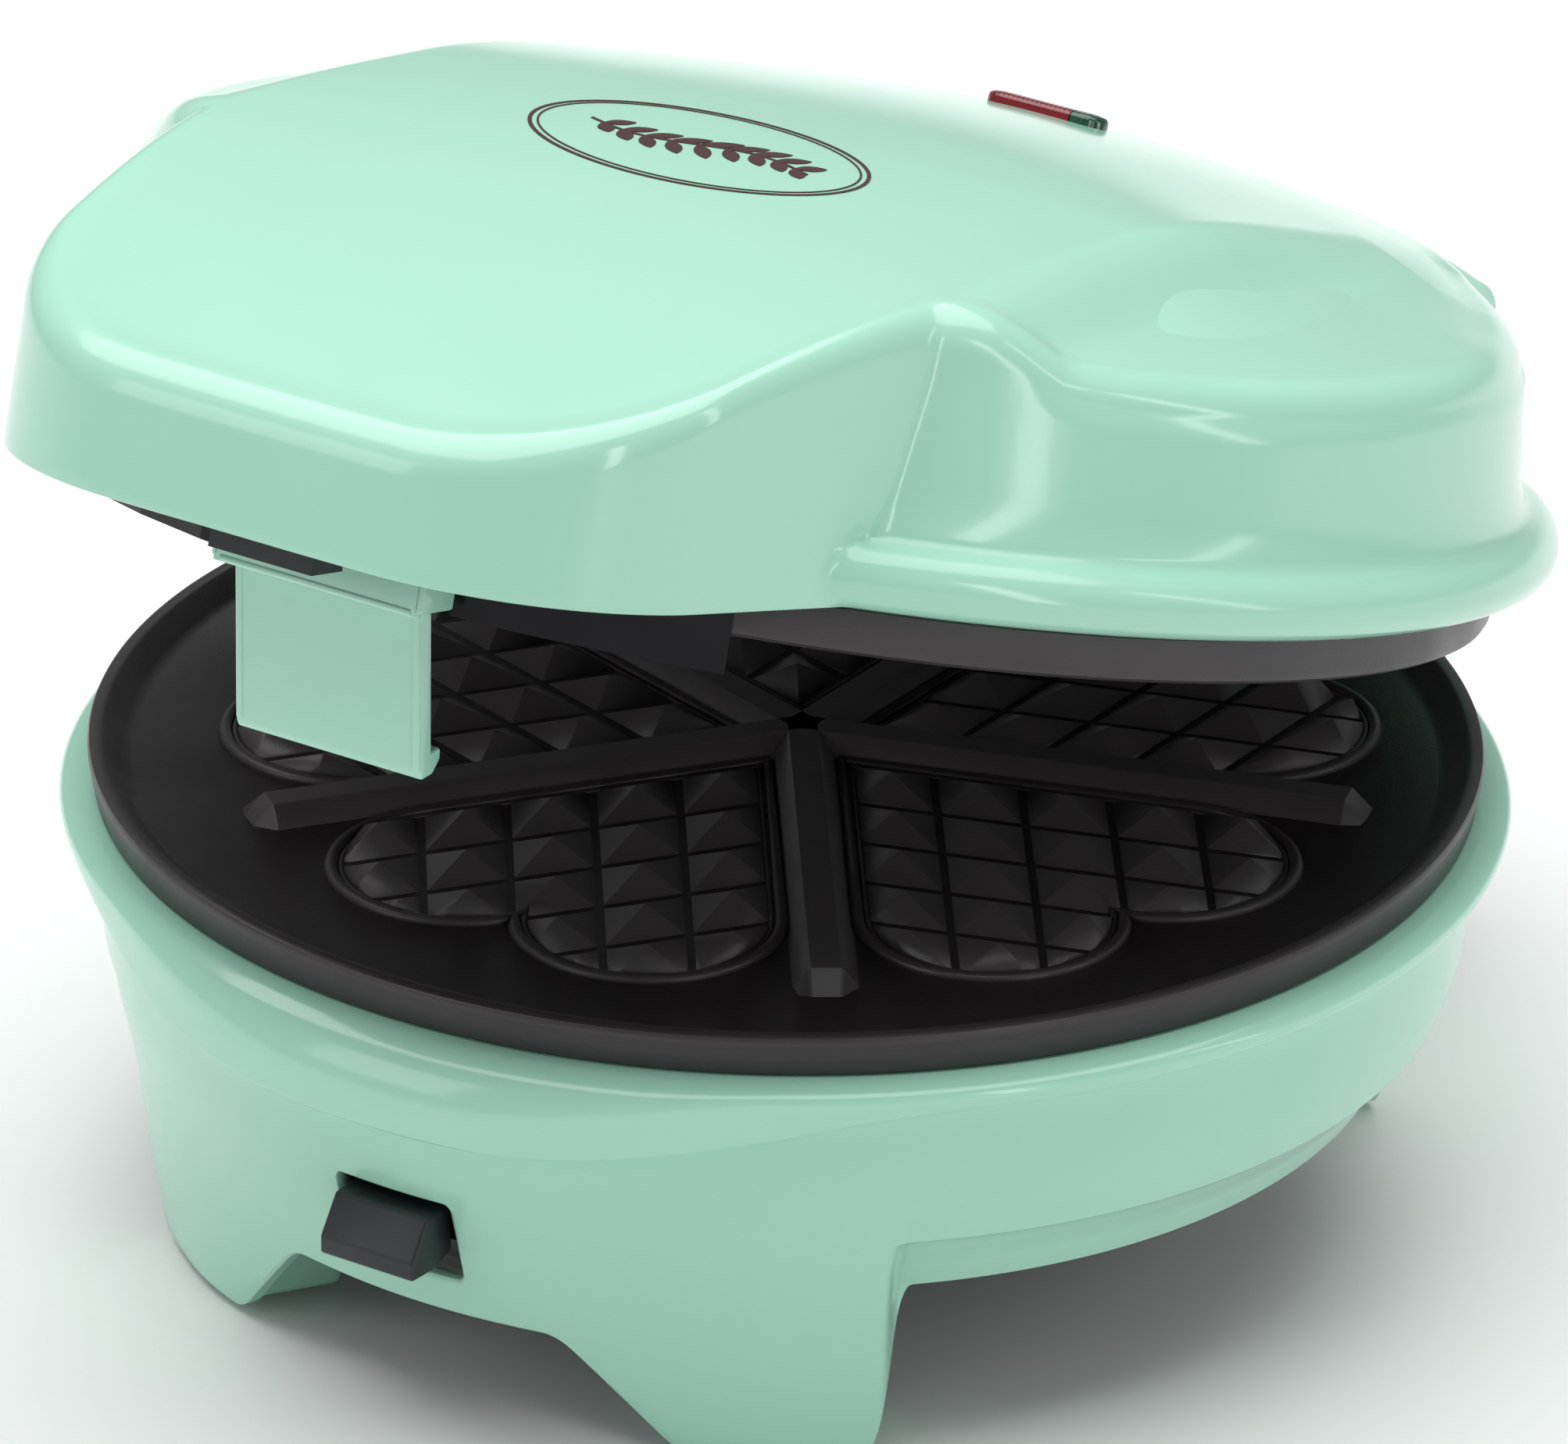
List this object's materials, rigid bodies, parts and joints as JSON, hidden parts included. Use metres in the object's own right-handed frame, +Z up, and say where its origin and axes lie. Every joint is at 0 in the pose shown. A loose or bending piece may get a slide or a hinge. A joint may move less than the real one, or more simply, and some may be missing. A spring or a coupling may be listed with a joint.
{
  "type": "waffle maker",
  "caption": "Round electric heart-waffle maker with hinged lid on a wide nose, swing latch, indicator lamp and footed base.",
  "frame": {"origin": "on the table under the middle of the machine, with the lid ajar as at rest", "axes": "+Z up, -Y to the front where the latch is, +X to the right seen from the front"},
  "size_m": [0.204, 0.2613, 0.163],
  "materials": {
    "mint_shell": "glossy moulded mint green plastic",
    "rubber_pad": "matt rubber",
    "coated_plate": "satin dark non-stick coating on cast aluminium",
    "aluminium_sheet": "bare pressed sheet",
    "ceramic": "unglazed ceramic",
    "red_lens": "clear red tinted plastic",
    "green_lens": "clear green tinted plastic",
    "clear_glass": "clear glass",
    "black_plastic": "fine satin black plastic",
    "steel": "plain steel"
  },
  "bodies": {
    "base": {"base_shell": "mint_shell", "bottom_cover": "black_plastic", "foot_pad_front_right": "rubber_pad", "foot_pad_front_left": "rubber_pad", "foot_pad_rear_right": "rubber_pad", "foot_pad_rear_left": "rubber_pad", "cover_screw_1": "steel", "cover_screw_2": "steel", "cover_screw_3": "steel", "cover_screw_4": "steel", "lower_plate": "coated_plate", "lower_reflector": "aluminium_sheet", "lower_heating_element": "steel", "lower_element_clamp_right": "aluminium_sheet", "lower_element_clamp_left": "aluminium_sheet", "thermostat": "ceramic", "thermal_fuse": "steel", "terminal_block": "ceramic", "cord_inlet_gland": "black_plastic", "hinge_pin_right": "steel", "hinge_pin_left": "steel", "lower_release_axle": "steel", "lower_release_spring": "steel"},
    "lid": {"lid_shell": "mint_shell", "lid_inner_cover": "black_plastic", "upper_plate": "coated_plate", "upper_reflector": "aluminium_sheet", "upper_heating_element": "steel", "upper_element_clamp_right": "aluminium_sheet", "upper_element_clamp_left": "aluminium_sheet", "lamp_lens_red": "red_lens", "lamp_lens_green": "green_lens", "neon_lamp_red": "clear_glass", "neon_lamp_green": "clear_glass", "latch_bracket": "mint_shell", "latch_pin": "steel", "lid_screw_1": "steel", "lid_screw_2": "steel", "lid_screw_3": "steel", "lid_screw_4": "steel"},
    "latch": {"latch_plate": "mint_shell"},
    "lower_release": {"lower_release_lever": "black_plastic"},
    "upper_release": {"upper_release_slider": "black_plastic", "upper_release_spring": "steel"}
  },
  "joints": [
    {"name": "lid_hinge", "type": "hinge", "parent": "base", "child": "lid", "pos_m": [0, 0.11875, 0.0799], "axis": [-1, 0, 0], "range_deg": [-15.23, 80]},
    {"name": "latch_swing", "type": "hinge", "parent": "lid", "child": "latch", "pos_m": [0, -0.10851, 0.12985], "axis": [1, 0, 0], "range_deg": [-34, 5.5]},
    {"name": "lower_release_press", "type": "hinge", "parent": "base", "child": "lower_release", "pos_m": [0, -0.07835, 0.032], "axis": [1, 0, 0], "range_deg": [0, 8], "stiffness_Nm_per_rad": 0.5, "springref_deg": -5.73, "deforming": ["lower_release_spring"]},
    {"name": "upper_release_slide", "type": "slide", "parent": "lid", "child": "upper_release", "axis": [0, 0.9649, -0.2627], "range_m": [0, 0.003], "stiffness_N_per_m": 300, "springref_m": -0.001}
  ]
}
